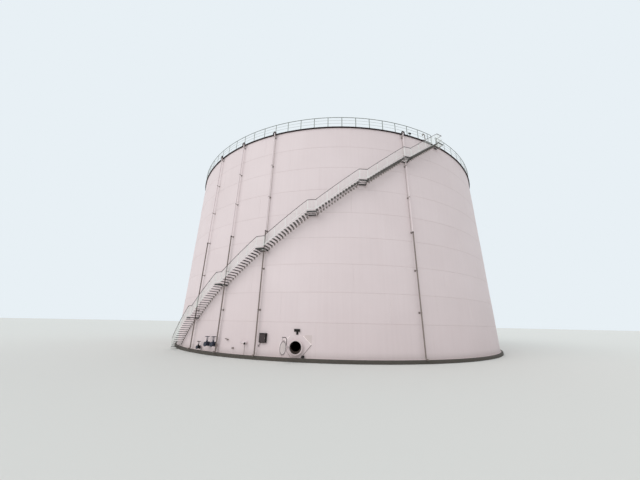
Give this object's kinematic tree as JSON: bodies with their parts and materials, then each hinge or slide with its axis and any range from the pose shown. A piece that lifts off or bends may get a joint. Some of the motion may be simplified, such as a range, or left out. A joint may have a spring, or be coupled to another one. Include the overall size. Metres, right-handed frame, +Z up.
{
  "type": "vertical storage tank, 1:2 scale model",
  "caption": "Vertical welded steel storage tank, a 1:2 scale model: cylindrical shell in courses, cone roof with edge rail, spiral stair, downpipes and open manhole.",
  "frame": {"origin": "on the ground under the tank's axis, in the middle of the foundation's underside", "axes": "+Z up along the tank's axis; -Y from the axis towards the manhole; +X to the right when one faces the manhole"},
  "size_m": [22.2024, 22.8741, 12.0925],
  "materials": {
    "shell_paint": "semi-gloss pale paint",
    "roof_paint": "semi-gloss pale paint",
    "trim_paint": "pale paint",
    "galvanised": "weathered zinc",
    "dark_paint": "dark paint",
    "valve_paint": "dark blue painted casting",
    "concrete": "rough concrete"
  },
  "bodies": {
    "tank": {"bottom_plate": "shell_paint", "downpipe_1": "trim_paint", "downpipe_2": "trim_paint", "downpipe_3": "trim_paint", "downpipe_4": "trim_paint", "drain_valve": "dark_paint", "earth_terminal": "dark_paint", "foundation": "concrete", "gate_valve_1": "valve_paint", "gate_valve_2": "valve_paint", "instrument_box": "dark_paint", "manhole_neck": "shell_paint", "manhole_reinforcing_plate": "shell_paint", "manhole_shell_plate": "shell_paint", "plate_on_stub": "dark_paint", "roof_bent_vent": "trim_paint", "roof_centre_cap": "roof_paint", "roof_edge_box": "dark_paint", "roof_rail_1": "trim_paint", "roof_rail_2": "trim_paint", "roof_rail_3": "trim_paint", "roof_rail_4": "trim_paint", "roof_sector_1": "roof_paint", "roof_sector_2": "roof_paint", "roof_sector_3": "roof_paint", "roof_sector_4": "roof_paint", "sample_nozzle": "trim_paint", "shell_course_1": "shell_paint", "shell_course_2": "shell_paint", "shell_course_3": "shell_paint", "shell_course_4": "shell_paint", "shell_course_5": "shell_paint", "shell_course_6": "shell_paint", "shell_course_7": "shell_paint", "shell_course_8": "shell_paint", "shell_course_9": "shell_paint", "stair_balustrade_1": "trim_paint", "stair_balustrade_2": "trim_paint", "stair_balustrade_3": "trim_paint", "stair_balustrade_4": "trim_paint", "stair_balustrade_5": "trim_paint", "stair_balustrade_6": "trim_paint", "stair_balustrade_7": "trim_paint", "stair_flight_1": "galvanised", "stair_flight_2": "galvanised", "stair_flight_3": "galvanised", "stair_flight_4": "galvanised", "stair_flight_5": "galvanised", "stair_flight_6": "galvanised", "stair_flight_7": "galvanised", "top_kerb_angle": "shell_paint"},
    "manhole_cover": {"manhole_cover": "shell_paint", "davit_arm": "dark_paint"}
  },
  "joints": [
    {"name": "manhole_cover_hinge", "type": "hinge", "parent": "tank", "child": "manhole_cover", "pos_m": [-0.35, -11.1414, 0.5221], "axis": [0, 0, -1], "range_deg": [-100, 60]}
  ]
}
